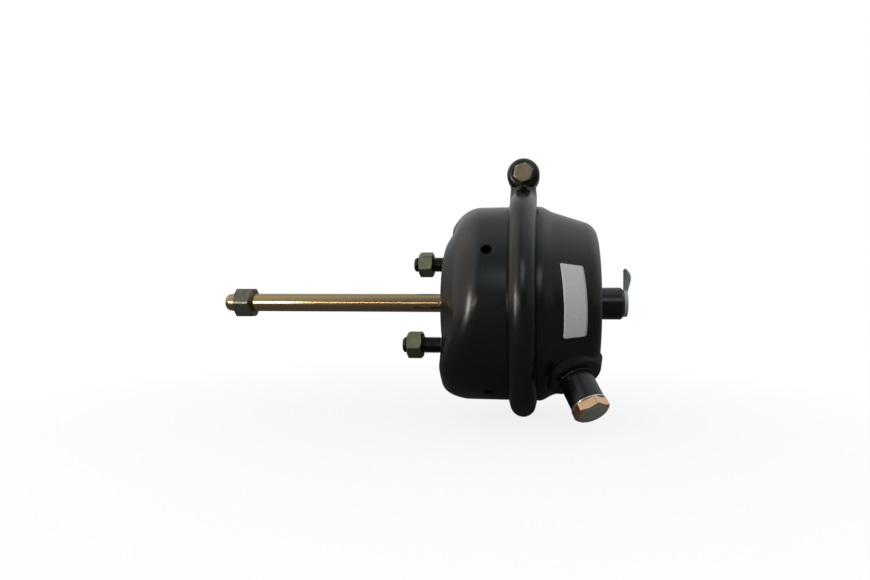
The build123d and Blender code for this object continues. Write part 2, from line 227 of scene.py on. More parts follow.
# Places and sizes repeated from the CAD source
REAR_X = 0.1105
STUD_LINE = math.radians(52.7)
STUD_SPACING = 0.0762
STUD_PLATE_X = 0.0065
STUD_REACH = 0.0298
STUD_RADIUS = 0.0060
STUD_NECK_RADIUS = 0.0065
STUD_HEAD_RADIUS = 0.0095
STUD_HEAD_HEIGHT = 0.0035
CONE_START_X = 0.0780
CONE_START_RADIUS = 0.0679
CONE_SLOPE = math.tan(math.radians(18.2))
SIDE_PORT_X = 0.0931
SIDE_PORT_TILT = math.radians(22.0)
PAD_HEIGHT = 0.0015
BOSS_RADIUS = 0.0118

# Stud threads
STUD_COLUMNS = 48
STUD_PITCH = 0.00175
STUD_RINGS_IN_PITCH = 10
STUD_TIP_RADIUS = 0.0001
STUD_END_DROP = 0.0016          # how far the end's edge lies under the crest
STUD_POINT_DROP = 0.0010
STUD_POINT_LENGTH = 0.0006
STUD_LEAD_LENGTH = 0.0022       # stretch over which the thread rises to its full height
STUD_PLAIN_LENGTH = 0.0012      # plain stretch between the thread and the shell
THREAD_DEPTH = 0.0007
THREAD_FLAT = 0.12              # flat share of half a pitch, at the crest and at the root

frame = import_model()
nodes = frame["nodes"]
cad_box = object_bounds()


# Materials

def new_tree(name):
    material = bpy.data.materials.new(name)
    material.use_nodes = True
    tree = material.node_tree
    return material, tree, tree.nodes["Principled BSDF"]


def position(tree, stretch=(1, 1, 1)):
    """The place on the piece, in metres, stretched."""
    coordinates = tree.nodes.new("ShaderNodeTexCoord")
    mapping = tree.nodes.new("ShaderNodeMapping")
    mapping.inputs["Scale"].default_value = stretch
    tree.links.new(coordinates.outputs["Object"], mapping.inputs["Vector"])
    return mapping.outputs["Vector"]


def noise(tree, scale, detail=4.0, roughness=0.55, stretch=(1, 1, 1), distortion=0.0):
    """Noise with about this many features in a metre."""
    texture = tree.nodes.new("ShaderNodeTexNoise")
    texture.inputs["Scale"].default_value = scale
    texture.inputs["Detail"].default_value = detail
    texture.inputs["Roughness"].default_value = roughness
    texture.inputs["Distortion"].default_value = distortion
    tree.links.new(position(tree, stretch), texture.inputs["Vector"])
    return texture.outputs["Fac"]


def ramp(tree, value, stops):
    """Colours along a value: stops are pairs of a place from 0 to 1 and a colour."""
    node = tree.nodes.new("ShaderNodeValToRGB")
    elements = node.color_ramp.elements
    while len(elements) < len(stops):
        elements.new(0.5)
    for element, (place, colour) in zip(elements, stops):
        element.position = place
        element.color = (*colour, 1)
    tree.links.new(value, node.inputs["Fac"])
    return node.outputs["Color"]


def span(tree, value, low, high, start=0.3, end=0.7):
    """A value from start to end, moved to the span from low to high."""
    node = tree.nodes.new("ShaderNodeMapRange")
    for key, number in (("From Min", start), ("From Max", end), ("To Min", low), ("To Max", high)):
        node.inputs[key].default_value = number
    tree.links.new(value, node.inputs["Value"])
    return node.outputs["Result"]


def mix(tree, share, one, other, blend="MIX"):
    """Blends two colours by a share: each of the three is a socket or a constant."""
    node = tree.nodes.new("ShaderNodeMix")
    node.data_type = "RGBA"
    node.blend_type = blend
    for key, value in (("Factor", share), ("A", one), ("B", other)):
        socket = next(s for s in node.inputs if s.name == key and (key == "Factor" or s.type == "RGBA"))
        if isinstance(value, bpy.types.NodeSocket):
            tree.links.new(value, socket)
        else:
            socket.default_value = value if key == "Factor" else (*value, 1)
    return next(s for s in node.outputs if s.type == "RGBA")


def bump(tree, shader, layers):
    """Bumps on top of each other: each layer is a height socket and its depth in metres."""
    normal = None
    for height, depth in layers:
        node = tree.nodes.new("ShaderNodeBump")
        node.inputs["Strength"].default_value = 1.0
        node.inputs["Distance"].default_value = depth
        tree.links.new(height, node.inputs["Height"])
        if normal:
            tree.links.new(normal, node.inputs["Normal"])
        normal = node.outputs["Normal"]
    tree.links.new(normal, shader.inputs["Normal"])


def black_paint():
    """Gloss black paint: faint orange peel, dust and a few pale specks."""
    material, tree, shader = new_tree("black_paint")
    cloud = noise(tree, 24, 5, 0.6)
    fine = noise(tree, 260, 4, 0.6)
    dust = noise(tree, 1500, 2, 0.5)
    body = ramp(tree, cloud, [(0.3, (0.0030, 0.0028, 0.0026)), (0.7, (0.0052, 0.0048, 0.0043))])
    film = mix(tree, span(tree, fine, 0.0, 0.35, 0.45, 0.75), body, (0.0095, 0.0088, 0.0080))
    specks = mix(tree, span(tree, dust, 0.0, 0.7, 0.72, 0.80), film, (0.12, 0.11, 0.10))
    tree.links.new(specks, shader.inputs["Base Color"])
    tree.links.new(span(tree, cloud, 0.20, 0.30), shader.inputs["Roughness"])
    shader.inputs["Specular IOR Level"].default_value = 0.5
    bump(tree, shader, [(noise(tree, 420, 2, 0.4), 0.000018), (dust, 0.000006)])
    return material


def zinc(name, stops, metal_roughness, streak=(1, 1, 1), scale=90, tints=None, grain=0.00001):
    """Passivated zinc: mottled colour, a fine streaky grain and dull patches."""
    material, tree, shader = new_tree(name)
    patches = noise(tree, scale, 5, 0.6, streak, 0.4)
    colour = ramp(tree, patches, stops)
    if tints:
        colour = mix(tree, span(tree, noise(tree, scale * 0.4, 2, 0.5, streak), 0.0, 0.6), colour, tints)
    tree.links.new(colour, shader.inputs["Base Color"])
    shader.inputs["Metallic"].default_value = 1.0
    low, high = metal_roughness
    tree.links.new(span(tree, noise(tree, scale * 3, 4, 0.6, streak), low, high), shader.inputs["Roughness"])
    bump(tree, shader, [(noise(tree, 900, 3, 0.5, streak), grain)])
    return material


def end_tint_and_painted_sheen(material, start, axis, height, stops):
    """Gives the end of a turned piece a colour past this height over its foot: its own tint, made paler as a
    painted reflection of the bright floor below it.
    """
    tree = material.node_tree
    shader = tree.nodes["Principled BSDF"]
    sides = shader.inputs["Base Color"].links[0].from_socket
    along = tree.nodes.new("ShaderNodeVectorMath")
    along.operation = "DOT_PRODUCT"
    along.inputs[1].default_value = axis
    tree.links.new(position(tree), along.inputs[0])
    foot = Vector(start).dot(Vector(axis))
    share = span(tree, along.outputs["Value"], 0.0, 1.0, foot + height - 0.0004, foot + height - 0.0001)
    end = ramp(tree, noise(tree, 220, 4, 0.6), stops)
    tree.links.new(mix(tree, share, sides, end), shader.inputs["Base Color"])


def plain(name, stops, roughness, scale, depth, metallic=0.0):
    """A plain material with mottled colour, uneven roughness and a fine bump."""
    material, tree, shader = new_tree(name)
    patches = noise(tree, scale, 5, 0.6)
    tree.links.new(ramp(tree, patches, stops), shader.inputs["Base Color"])
    shader.inputs["Metallic"].default_value = metallic
    low, high = roughness
    tree.links.new(span(tree, noise(tree, scale * 4, 3, 0.5), low, high), shader.inputs["Roughness"])
    bump(tree, shader, [(noise(tree, scale * 12, 3, 0.5), depth)])
    return material


LOOKS = {
    "black_paint": black_paint(),
    "yellow_zinc": zinc(
        "rod_zinc", [(0.30, (0.34, 0.27, 0.12)), (0.55, (0.42, 0.31, 0.15)), (0.75, (0.35, 0.32, 0.14))],
        (0.13, 0.19), (0.06, 1, 1), 160, (0.50, 0.29, 0.19), 0.000002),
    "dull_zinc": zinc(
        "nut_zinc", [(0.30, (0.14, 0.145, 0.085)), (0.6, (0.22, 0.222, 0.135)), (0.8, (0.32, 0.31, 0.21))],
        (0.34, 0.50), (1, 1, 1), 140, None, 0.00003),
    "bare_steel": plain(
        "bare_steel", [(0.3, (0.42, 0.42, 0.43)), (0.7, (0.55, 0.55, 0.55))], (0.3, 0.45), 90, 0.00001, 1.0),
    "spring_steel": plain(
        "spring_steel", [(0.3, (0.05, 0.05, 0.055)), (0.7, (0.10, 0.10, 0.11))],
        (0.3, 0.5), 120, 0.00001, 1.0),
    "bright_washer": plain(
        "bright_washer", [(0.3, (0.70, 0.70, 0.69)), (0.7, (0.86, 0.86, 0.85))],
        (0.18, 0.32), 200, 0.00001, 1.0),
    "black_rubber": plain(
        "black_rubber", [(0.3, (0.018, 0.018, 0.018)), (0.7, (0.035, 0.034, 0.033))],
        (0.55, 0.75), 60, 0.00005),
    "grey_plastic": plain(
        "grey_plastic", [(0.3, (0.58, 0.62, 0.62)), (0.7, (0.68, 0.71, 0.70))], (0.38, 0.52), 70, 0.00002),
}
BOLT_ZINC = zinc(
    "bolt_zinc", [(0.30, (0.26, 0.195, 0.11)), (0.55, (0.38, 0.285, 0.17)), (0.8, (0.44, 0.33, 0.25))],
    (0.28, 0.42), (1, 1, 1), 260, (0.38, 0.23, 0.18), 0.00003)
PLUG_ZINC = zinc(
    "plug_zinc", [(0.30, (0.86, 0.44, 0.24)), (0.50, (0.92, 0.60, 0.36)), (0.68, (0.62, 0.62, 0.38))],
    (0.24, 0.40), (1, 1, 1), 110, (0.90, 0.34, 0.24), 0.00003)
ROD_NUT_ZINC = zinc(
    "rod_nut_zinc", [(0.30, (0.13, 0.12, 0.095)), (0.6, (0.20, 0.185, 0.145)), (0.8, (0.29, 0.24, 0.17))],
    (0.34, 0.48), (1, 1, 1), 180, None, 0.00001)


def wear(obj, material):
    """Gives a piece one material all over."""
    obj.data.materials.clear()
    obj.data.materials.append(material)
    for polygon in obj.data.polygons:
        polygon.material_index = 0


slots = {entry["node"]: entry["material_slot"] for entry in frame["record"]["subparts"]}
for node, obj in nodes.items():
    wear(obj, LOOKS[slots[node]])
for node, material in (("clamp_bolt", BOLT_ZINC), ("clamp_nut", BOLT_ZINC), ("clamp_washer", BOLT_ZINC),
                       ("port_plug", PLUG_ZINC), ("rod_nut", ROD_NUT_ZINC)):
    wear(nodes[node], material)


# New pieces

def link(name, data):
    """Puts a mesh, lamp or camera in the scene as an object of its own."""
    obj = bpy.data.objects.new(name, data)
    bpy.context.scene.collection.objects.link(obj)
    return obj


def face_outwards(mesh):
    solid = bmesh.new()
    solid.from_mesh(mesh)
    bmesh.ops.recalc_face_normals(solid, faces=solid.faces)
    solid.to_mesh(mesh)
    solid.free()


def smooth(mesh):
    for polygon in mesh.polygons:
        polygon.use_smooth = True


def piece(name, vertices, faces, material, body):
    """Smooth piece that rides on a body and may wear one of the record's slots."""
    mesh = bpy.data.meshes.new(name)
    mesh.from_pydata(vertices, [], faces)
    mesh.validate()
    obj = link(name, mesh)
    face_outwards(mesh)
    smooth(mesh)
    mesh.materials.append(material)
    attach(obj, body)
    return obj


def crisp(obj, angle):
    """Keeps edges sharper than this angle, in degrees, sharp."""
    obj.data.set_sharp_from_angle(angle=math.radians(angle))
    return obj


def end_faces(rows, columns):
    """The faces that close the first and the last of these rows."""
    return [tuple(range(columns)), tuple(range((rows - 1) * columns, rows * columns))]


def grid_faces(rows, columns):
    """Quads between rows of points that each go round once."""
    faces = []
    for row in range(rows - 1):
        for column in range(columns):
            after = (column + 1) % columns
            faces.append((row * columns + column, row * columns + after,
                          (row + 1) * columns + after, (row + 1) * columns + column))
    return faces


def stud_centre(side):
    """Centre of a stud across the axis: side -1 is the near one and 1 the far one."""
    reach = side * STUD_SPACING / 2
    return reach * math.cos(STUD_LINE), reach * math.sin(STUD_LINE)


def thread_radius(x, turn):
    """Radius of the stud's V thread, with flat crests and roots, at a place and a turn."""
    phase = (x / STUD_PITCH + turn / (2 * math.pi)) % 1.0
    wave = abs(2 * phase - 1)
    return STUD_RADIUS - THREAD_DEPTH * min(1.0, max(0.0, (wave - THREAD_FLAT) / (1 - 2 * THREAD_FLAT)))


def threaded_stud(name, side):
    """The stud with its thread almost up to the shell, in place of the plain CAD solid."""
    centre_y, centre_z = stud_centre(side)
    turns = [2 * math.pi * column / STUD_COLUMNS for column in range(STUD_COLUMNS)]
    point_end, head_end = -STUD_REACH + STUD_POINT_LENGTH, STUD_PLATE_X + STUD_HEAD_HEIGHT
    point = [(-STUD_REACH, STUD_TIP_RADIUS), (-STUD_REACH, STUD_RADIUS - STUD_END_DROP),
             (point_end, STUD_RADIUS - STUD_POINT_DROP)]
    head = [(-STUD_PLAIN_LENGTH, STUD_RADIUS), (0.0, STUD_RADIUS), (0.0, STUD_NECK_RADIUS),
            (STUD_PLATE_X, STUD_NECK_RADIUS), (STUD_PLATE_X, STUD_HEAD_RADIUS),
            (STUD_PLATE_X + STUD_HEAD_HEIGHT * 0.8, STUD_HEAD_RADIUS),
            (head_end, STUD_HEAD_RADIUS * 0.9), (head_end, STUD_TIP_RADIUS)]
    rings = [(place, [radius] * STUD_COLUMNS) for place, radius in point]
    steps = int((STUD_REACH - STUD_PLAIN_LENGTH) / STUD_PITCH * STUD_RINGS_IN_PITCH)
    for step in range(steps + 1):
        place = point_end + (STUD_REACH - STUD_LEAD_LENGTH) * step / steps
        lead = min(1.0, (place + STUD_REACH) / STUD_LEAD_LENGTH)
        most = STUD_RADIUS - STUD_POINT_DROP * (1 - lead)
        rings.append((place, [min(thread_radius(place, turn), most) for turn in turns]))
    rings += [(place, [radius] * STUD_COLUMNS) for place, radius in head]
    vertices = [(place, centre_y + size * math.cos(turn), centre_z + size * math.sin(turn))
                for place, sizes in rings for turn, size in zip(turns, sizes)]
    return piece(name, vertices, grid_faces(len(rings), STUD_COLUMNS), LOOKS["black_paint"], "chamber")


for node, side in (("mounting_stud_near", -1), ("mounting_stud_far", 1)):
    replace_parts(threaded_stud("threaded_" + node, side), node)


def ring_bead(name, place, axis, radius, size):
    """A weld bead round a boss: a ring with ripples, lying in the corner at its foot."""
    axis = Vector(axis).normalized()
    side = axis.orthogonal().normalized()
    other = axis.cross(side)
    columns, around = BEAD_COLUMNS, BEAD_AROUND
    vertices = []
    for step in range(around):
        turn = 2 * math.pi * step / around
        spread = size * (1 + sum(share * math.sin(count * turn + start)
                                 for count, share, start in BEAD_RIPPLES))
        out = side * math.cos(turn) + other * math.sin(turn)
        for column in range(columns):
            angle = 2 * math.pi * column / columns
            reach = radius + spread * (BEAD_OFFSET + BEAD_WIDTH * math.cos(angle))
            rise = spread * BEAD_HEIGHT * math.sin(angle)
            vertices.append(tuple(Vector(place) + out * reach + axis * rise))
    faces = []
    for step in range(around):
        for column in range(columns):
            after, beside = (step + 1) % around, (column + 1) % columns
            faces.append((step * columns + column, after * columns + column,
                          after * columns + beside, step * columns + beside))
    return piece(name, vertices, faces, LOOKS["black_paint"], "chamber")


def cone_radius(x):
    """Outer radius of the rear shell's cone at a place along the axis."""
    return CONE_START_RADIUS - (x - CONE_START_X) * CONE_SLOPE


def side_port():
    """Foot of the side port's boss on its pad, and the port's direction."""
    turn = STUD_LINE + math.pi
    out = Vector((math.sin(SIDE_PORT_TILT), math.cos(SIDE_PORT_TILT) * math.cos(turn),
                  math.cos(SIDE_PORT_TILT) * math.sin(turn)))
    radius = cone_radius(SIDE_PORT_X)
    foot = Vector((SIDE_PORT_X, radius * math.cos(turn), radius * math.sin(turn)))
    return foot + out * PAD_HEIGHT, out


def frame_at(place, axis, start):
    """Turns distances along and round an axis into points: start is where the turn is zero."""
    place, axis = Vector(place), Vector(axis).normalized()
    first = (Vector(start) - axis * Vector(start).dot(axis)).normalized()
    second = axis.cross(first)

    def point(along, turn, radius):
        return tuple(place + axis * along + (first * math.cos(turn) + second * math.sin(turn)) * radius)
    return point


def turned(name, rings, point, material, columns=96, angle=30, limit=None, body="chamber"):
    """Piece turned from rings of a place along the axis and a radius, cut to a limit by its angle."""
    vertices = []
    for along, radius in rings:
        for column in range(columns):
            turn = 2 * math.pi * column / columns
            size = min(radius, limit(turn)) if limit else radius
            vertices.append(point(along, turn, size))
    faces = grid_faces(len(rings), columns)
    return crisp(piece(name, vertices, faces, material, body), angle)


def hex_limit(flats, turn_offset, corner_share=0.985):
    """Radius of a hexagon at an angle, with its corners slightly blunt."""
    def limit(turn):
        local = (turn - turn_offset) % (math.pi / 3) - math.pi / 6
        return min(flats / 2 / math.cos(local), flats / math.sqrt(3) * corner_share)
    return limit


def hex_rings(flats, height, bore, foot_chamfer=True, top_share=0.93):
    """Rings of a hex nut or head from its seat to its top, with chamfers of 30 degrees."""
    corner, face = flats / math.sqrt(3), flats / 2 * top_share
    drop = (corner - face) * math.tan(math.radians(30))
    steps = CHAMFER_STEPS
    rings = [(0, bore)]
    if foot_chamfer:
        rings += [(drop * step / steps, face + (corner - face) * step / steps) for step in range(steps + 1)]
    else:
        rings += [(0, corner)]
    rings += [(height - drop * (1 - step / steps), corner - (corner - face) * step / steps)
              for step in range(steps + 1)]
    return rings + [(height, bore)]


port_foot, port_out = side_port()
port_point = frame_at(port_foot, port_out, (1, 0, 0))
# The plug's end face keeps its own grey-green tint, made paler as a painted reflection of the bright floor it
# faces.
end_tint_and_painted_sheen(PLUG_ZINC, port_foot, port_out, SIDE_BOSS_LENGTH + PLUG_WASHER_THICKNESS + PLUG_HEIGHT,
         [(0.35, (0.78, 0.82, 0.62)), (0.65, (0.90, 0.92, 0.78))])


def make_side_port():
    """Boss, washer and plug of the side port, as long as in the photo."""
    seat = SIDE_BOSS_LENGTH
    boss = [(0, PORT_BORE_RADIUS), (0, BOSS_RADIUS), (seat - SIDE_BOSS_CHAMFER, BOSS_RADIUS),
            (seat, BOSS_RADIUS - SIDE_BOSS_CHAMFER), (seat, PORT_BORE_RADIUS), (0, PORT_BORE_RADIUS)]
    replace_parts(turned("side_boss", boss, port_point, LOOKS["black_paint"]),
                "side_port_boss")
    top = seat + PLUG_WASHER_THICKNESS
    half = PLUG_WASHER_THICKNESS / 2
    washer = [(seat, PORT_BORE_RADIUS)]
    for step in range(WASHER_STEPS + 1):
        angle = math.pi * (step / WASHER_STEPS - 0.5)
        washer.append((seat + half + half * math.sin(angle),
                       PLUG_WASHER_RADIUS - half + half * math.cos(angle)))
    washer += [(top, PORT_BORE_RADIUS), (seat, PORT_BORE_RADIUS)]
    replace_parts(turned("thin_washer", washer, port_point, LOOKS["bright_washer"]),
                "plug_washer")
    head = [(top + along, radius) for along, radius in
            hex_rings(PLUG_FLATS, PLUG_HEIGHT, HUB, False, PLUG_TOP_SHARE)]
    shank_end = top - PLUG_SHANK_LENGTH
    shank = [(shank_end, HUB), (shank_end, PORT_BORE_RADIUS - PLUG_SHANK_CHAMFER),
             (shank_end + PLUG_SHANK_CHAMFER, PORT_BORE_RADIUS - FIT), (top, PORT_BORE_RADIUS - FIT)]
    plug = turned("hex_plug", shank + head[1:], port_point, PLUG_ZINC, HEX_COLUMNS, HEX_SHARP_ANGLE,
                  hex_limit(PLUG_FLATS, PLUG_TURN))
    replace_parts(plug, "port_plug")


def make_rod_nut():
    point = frame_at((ROD_NUT_X, 0, 0), (1, 0, 0), (0, -1, 0))
    rings = hex_rings(ROD_NUT_FLATS, ROD_NUT_HEIGHT, ROD_RADIUS + FIT)
    nut = turned("clevis_nut", rings + rings[:1], point, ROD_NUT_ZINC, HEX_COLUMNS, HEX_SHARP_ANGLE,
                 hex_limit(ROD_NUT_FLATS, 0, ROD_NUT_CORNERS), "push_rod")
    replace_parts(nut, "rod_nut")


def make_stud_nuts():
    for name, node, side, inner_end, turn in STUD_NUTS:
        point = frame_at((inner_end - STUD_NUT_HEIGHT, *stud_centre(side)), (1, 0, 0), (0, -1, 0))
        rings = hex_rings(STUD_NUT_FLATS, STUD_NUT_HEIGHT, STUD_RADIUS - STUD_NUT_BITE)
        nut = turned(name, rings + rings[:1], point, LOOKS["dull_zinc"], HEX_COLUMNS, HEX_SHARP_ANGLE,
                     hex_limit(STUD_NUT_FLATS, math.radians(turn)))
        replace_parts(nut, node)


def catmull(points, place):
    """Smooth value at a place between pairs of a place and a value."""
    for index in range(len(points) - 1):
        if place <= points[index + 1][0] or index == len(points) - 2:
            break
    before = points[max(index - 1, 0)][1]
    start, end = points[index][1], points[index + 1][1]
    after = points[min(index + 2, len(points) - 1)][1]
    share = (place - points[index][0]) / (points[index + 1][0] - points[index][0])
    return 0.5 * (2 * start + (end - before) * share + (2 * before - 5 * start + 4 * end - after) * share ** 2
                  + (3 * start - before - 3 * end + after) * share ** 3)


def fuller(wave):
    """A sine or cosine raised to the leaf's power, with its sign kept."""
    return math.copysign(abs(wave) ** TAB_SQUARENESS, wave)


def make_cap():
    """Push-in cap with a thin leaf for a pull tab."""
    point = frame_at((CAP_X, 0, 0), (1, 0, 0), (0, 0, 1))
    skirt = PORT_BORE_RADIUS - FIT
    rings = [(-CAP_WEB, HUB), (-CAP_WEB, CAP_WEB_RADIUS), (-CAP_SKIRT_LENGTH, CAP_MOUTH_RADIUS),
             (-CAP_SKIRT_LENGTH, skirt - CAP_SKIRT_TAPER), (0.0, skirt),
             (0.0, CAP_RADIUS - CAP_LIP), (CAP_LIP, CAP_RADIUS)]
    for step in range(CAP_EDGE_STEPS + 1):
        angle = math.pi / 2 * step / CAP_EDGE_STEPS
        rings.append((CAP_THICKNESS - CAP_EDGE * (1 - math.sin(angle)),
                      CAP_RADIUS - CAP_EDGE * (1 - math.cos(angle))))
    rings += [(CAP_THICKNESS + CAP_CROWN[0], CAP_RADIUS * 0.5), (CAP_THICKNESS + CAP_CROWN[1], HUB)]
    body = turned("push_cap", rings, point, LOOKS["grey_plastic"], 96, 40, None, "dust_cap")
    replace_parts(body, "rear_dust_cap")
    rows, columns = TAB_ROWS, TAB_COLUMNS
    (low, foot_half), high = TAB_WIDTHS[0], TAB_WIDTHS[-1][0]
    vertices = []
    for row in range(rows + 1):
        z = low + (high - low) * math.sin(math.pi / 2 * row / rows)
        half = max(catmull(TAB_WIDTHS, z), TAB_LEAST_HALF)
        thick = min(TAB_THICKNESS / 2, half)
        middle = CAP_X + TAB_FOOT_X + (max(half, TAB_ROUND) - foot_half) * TAB_LEAN
        for column in range(columns):
            angle = 2 * math.pi * column / columns
            across, depth = half * fuller(math.cos(angle)), thick * fuller(math.sin(angle))
            vertices.append((middle - across * math.sin(TAB_TWIST) + depth * math.cos(TAB_TWIST),
                             across * math.cos(TAB_TWIST) + depth * math.sin(TAB_TWIST), z))
    faces = grid_faces(rows + 1, columns) + end_faces(rows + 1, columns)
    crisp(piece("pull_tab", vertices, faces, LOOKS["grey_plastic"], "dust_cap"), 50)


def eased(value, start, rise, blend):
    """Zero up to the start and then rising, with the bend spread over the blend on both sides."""
    past = value - (start - blend)
    if past <= 0:
        return 0.0
    if past >= 2 * blend:
        return rise * (value - start)
    return rise * past * past / (4 * blend)


def front_x(y, z):
    """Place along the axis of the front shell's outer face, before its outer corner is rounded."""
    cone = eased(math.hypot(y, z), FACE_RADIUS, CONE_RISE, FACE_BLEND)
    across = abs(z * math.cos(STUD_LINE) - y * math.sin(STUD_LINE))
    band = eased(across, BAND_HALF_WIDTH, BAND_RISE, BAND_BLEND)
    blend = VALLEY_BLEND * min(1.0, min(cone, band) / VALLEY_FULL_DEPTH)
    if blend < 1e-6:
        return min(cone, band)
    share = min(1.0, max(0.0, 0.5 + 0.5 * (cone - band) / blend))
    return cone + (band - cone) * share - blend * share * (1 - share)


def front_gap(x, y, z):
    """About how far a point lies outside the front shell, or below zero inside it."""
    face = front_x(y, z)
    corner = CORNER_RADIUS + CORNER_GAIN * min(1.0, face / CORNER_FULL_DEPTH)
    side = math.hypot(y, z) - BARREL_RADIUS
    front = (face - x) * FACE_SLANT
    beyond = math.hypot(max(side + corner, 0), max(front + corner, 0))
    return min(max(side, front), -corner) + beyond


def cut(obj, cutters):
    """Cuts the cutters out of a piece for good and deletes them."""
    for cutter in cutters:
        modifier = obj.modifiers.new("cut", "BOOLEAN")
        modifier.operation = "DIFFERENCE"
        modifier.solver = "EXACT"
        modifier.object = cutter
    shaped = bpy.data.meshes.new_from_object(obj.evaluated_get(bpy.context.evaluated_depsgraph_get()))
    obj.modifiers.clear()
    obj.data = shaped
    for cutter in cutters:
        bpy.data.objects.remove(cutter)


def vent_drill(place):
    """Round cutter through the shell's wall, for one of the evenly spaced vents."""
    turn = VENT_TURN + 2 * math.pi / VENT_COUNT * place
    out = Vector((0, math.cos(turn), math.sin(turn)))
    point = frame_at((VENT_X, 0, 0), out, (1, 0, 0))
    vertices = [point(along, 2 * math.pi * column / VENT_COLUMNS, VENT_RADIUS)
                for along in VENT_DRILL for column in range(VENT_COLUMNS)]
    mesh = bpy.data.meshes.new("drill")
    mesh.from_pydata(vertices, [], grid_faces(2, VENT_COLUMNS) + end_faces(2, VENT_COLUMNS))
    drill = link("drill", mesh)
    face_outwards(mesh)
    return drill


def shell_point(lean, turn):
    """Point of the front shell's outer face in a direction from the shell's centre."""
    step = (-math.cos(lean), math.sin(lean) * math.cos(turn), math.sin(lean) * math.sin(turn))
    near, far = SHELL_REACH
    for _ in range(SHELL_HALVINGS):
        reach = (near + far) / 2
        if front_gap(SHELL_CENTRE_X + step[0] * reach, step[1] * reach, step[2] * reach) < 0:
            near = reach
        else:
            far = reach
    return SHELL_CENTRE_X + step[0] * near, step[1] * near, step[2] * near


def make_front_shell():
    """Front shell as one pressed sheet: round face, cone and stud band run into each other."""
    rows, columns = SHELL_ROWS, SHELL_COLUMNS
    turns = [2 * math.pi * column / columns for column in range(columns)]
    first = math.atan2(ROD_HOLE_RADIUS, SHELL_CENTRE_X)
    leans = [first + (math.pi / 2 - first) * row / rows for row in range(rows + 1)]
    vertices = [shell_point(lean, turn) for lean in leans for turn in turns]
    vertices += [(x, radius * math.cos(turn), radius * math.sin(turn))
                 for x, radius in FLANGE_PATH for turn in turns]
    total = rows + 1 + len(FLANGE_PATH)
    shell = piece("pressed_front_shell", vertices, grid_faces(total, columns), LOOKS["black_paint"],
                  "chamber")
    middle = shell.data.polygons[rows // 2 * columns]
    if middle.normal.dot(middle.center - Vector((SHELL_CENTRE_X, 0, 0))) < 0:
        shell.data.flip_normals()
    thicken = shell.modifiers.new("sheet", "SOLIDIFY")
    thicken.thickness = SHELL_SHEET
    thicken.offset = -1
    cut(shell, [vent_drill(place) for place in range(VENT_COUNT)])
    wear(shell, LOOKS["black_paint"])
    smooth(shell.data)
    crisp(shell, 40)
    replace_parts(shell, "front_housing")


make_side_port()
make_rod_nut()
make_stud_nuts()
make_cap()
make_front_shell()
ring_bead("rear_boss_weld", (REAR_X, 0, 0), (1, 0, 0), BOSS_RADIUS, REAR_BEAD)
ring_bead("side_boss_weld", port_foot, port_out, BOSS_RADIUS, SIDE_BEAD)


def label_material():
    """White label paper with faint fibres."""
    material, tree, shader = new_tree("paper_label")
    paper = ramp(tree, noise(tree, 500, 4, 0.6), [(0.3, (0.66, 0.66, 0.645)), (0.7, (0.74, 0.74, 0.725))])
    tree.links.new(paper, shader.inputs["Base Color"])
    tree.links.new(span(tree, noise(tree, 90, 3, 0.5), 0.38, 0.5), shader.inputs["Roughness"])
    bump(tree, shader, [(noise(tree, 1200, 3, 0.6), 0.00001)])
    return material


def label_point(along, turn, lift):
    """Point on the cone: along is metres from the label's front edge, turn is in degrees."""
    x = LABEL_FRONT_X + along - LABEL_BOW * (turn - LABEL_MIDDLE) ** 2
    radius = cone_radius(x) + lift
    angle = math.radians(turn)
    return x + lift * CONE_SLOPE, -radius * math.cos(angle), radius * math.sin(angle)


def make_label():
    """A thin sheet on the cone with rounded corners."""
    rows, columns = LABEL_ROWS, LABEL_COLUMNS
    length = math.radians(LABEL_TOP - LABEL_BOTTOM) * cone_radius(LABEL_FRONT_X + LABEL_WIDTH / 2)
    vertices, faces = [], []
    for lift in (LABEL_UNDERSIDE, LABEL_THICKNESS):
        for column in range(columns + 1):
            place = length * (1 - math.cos(math.pi * column / columns)) / 2
            near = min(place, length - place)
            inset = 0.0
            if near < LABEL_CORNER:
                inset = LABEL_CORNER - math.sqrt(LABEL_CORNER ** 2 - (LABEL_CORNER - near) ** 2)
            turn = LABEL_TOP + (LABEL_BOTTOM - LABEL_TOP) * place / length
            for row in range(rows + 1):
                along = inset + (LABEL_WIDTH - 2 * inset) * row / rows
                vertices.append(label_point(along, turn, lift))
    layer = (rows + 1) * (columns + 1)
    for base in (0, layer):
        for column in range(columns):
            for row in range(rows):
                first = base + column * (rows + 1) + row
                faces.append((first, first + 1, first + rows + 2, first + rows + 1))
    rim = list(range(rows + 1))
    rim += [column * (rows + 1) + rows for column in range(1, columns + 1)]
    rim += [columns * (rows + 1) + row for row in range(rows - 1, -1, -1)]
    rim += [column * (rows + 1) for column in range(columns - 1, 0, -1)]
    for start, end in zip(rim, rim[1:] + rim[:1]):
        faces.append((start, end, layer + end, layer + start))
    piece("label", vertices, faces, label_material(), "chamber")


make_label()


# Soft pieces that change shape with the stroke

def copy_mesh(node, name):
    """Copy of a CAD solid that takes its place, so that it may change shape."""
    mesh = nodes[node].data.copy()
    mesh.name = name
    obj = link(name, mesh)
    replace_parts(obj, node)
    return obj


rolling_diaphragm = copy_mesh("diaphragm", "rolling_diaphragm")
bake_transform(rolling_diaphragm)


